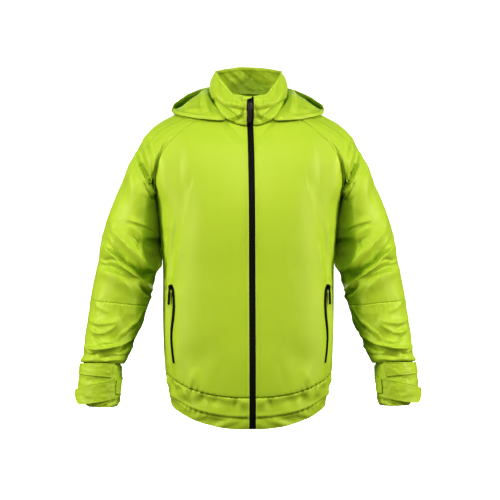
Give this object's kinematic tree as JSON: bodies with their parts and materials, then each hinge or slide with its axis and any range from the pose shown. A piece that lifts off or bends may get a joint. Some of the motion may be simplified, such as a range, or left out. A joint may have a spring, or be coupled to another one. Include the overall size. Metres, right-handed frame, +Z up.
{
  "type": "hooded windbreaker jacket",
  "caption": "Hooded zip-front windbreaker jacket in worn form, with raglan sleeves, stand collar, hood laid back, zipped side pockets, hem band and strapped cuffs.",
  "frame": {"origin": "middle of the neck opening, level with the side neck points, where the shoulders carry the jacket", "axes": "+X to the wearer's left, -Y to the front, +Z up through the neck opening"},
  "size_m": [0.7884, 0.3033, 0.8238],
  "materials": {
    "shell_cloth": "thin coated polyester with a soft sheen",
    "zip_tape": "woven tape, coated",
    "zip_slider": "semi-gloss",
    "zip_pull": "moulded, matt"
  },
  "bodies": {
    "jacket": {"front_left": "shell_cloth", "front_right": "shell_cloth", "back": "shell_cloth", "hem_band_front_left": "shell_cloth", "hem_band_front_right": "shell_cloth", "hem_band_back": "shell_cloth", "upper_sleeve_left": "shell_cloth", "upper_sleeve_right": "shell_cloth", "lower_sleeve_left": "shell_cloth", "lower_sleeve_right": "shell_cloth", "cuff_left": "shell_cloth", "cuff_right": "shell_cloth", "cuff_flap_left": "shell_cloth", "cuff_flap_right": "shell_cloth", "cuff_tab_left": "shell_cloth", "cuff_tab_right": "shell_cloth", "tab_keeper_left": "shell_cloth", "tab_keeper_right": "shell_cloth", "collar": "shell_cloth", "chin_guard": "shell_cloth", "hood_left": "shell_cloth", "hood_right": "shell_cloth", "zip_tape_left": "zip_tape", "zip_tape_right": "zip_tape", "pocket_zip_left": "zip_tape", "pocket_zip_right": "zip_tape", "front_slider": "zip_slider", "pocket_slider_left": "zip_slider", "pocket_slider_right": "zip_slider"},
    "front_pull_tab": {"front_pull": "zip_pull"},
    "pocket_pull_tab_left": {"pocket_pull_left": "zip_pull"},
    "pocket_pull_tab_right": {"pocket_pull_right": "zip_pull"}
  },
  "joints": [
    {"name": "front_pull_swing", "type": "hinge", "parent": "jacket", "child": "front_pull_tab", "pos_m": [0.00109, -0.09579, -0.02967], "axis": [-1, -0.0004, -0.0026], "range_deg": [0, 150]},
    {"name": "pocket_pull_swing_left", "type": "hinge", "parent": "jacket", "child": "pocket_pull_tab_left", "pos_m": [0.17865, -0.07482, -0.43394], "axis": [-0.5987, -0.7987, -0.0599], "range_deg": [0, 150]},
    {"name": "pocket_pull_swing_right", "type": "hinge", "parent": "jacket", "child": "pocket_pull_tab_right", "pos_m": [-0.17865, -0.07482, -0.43394], "axis": [-0.5987, 0.7987, 0.0599], "range_deg": [0, 150]}
  ]
}
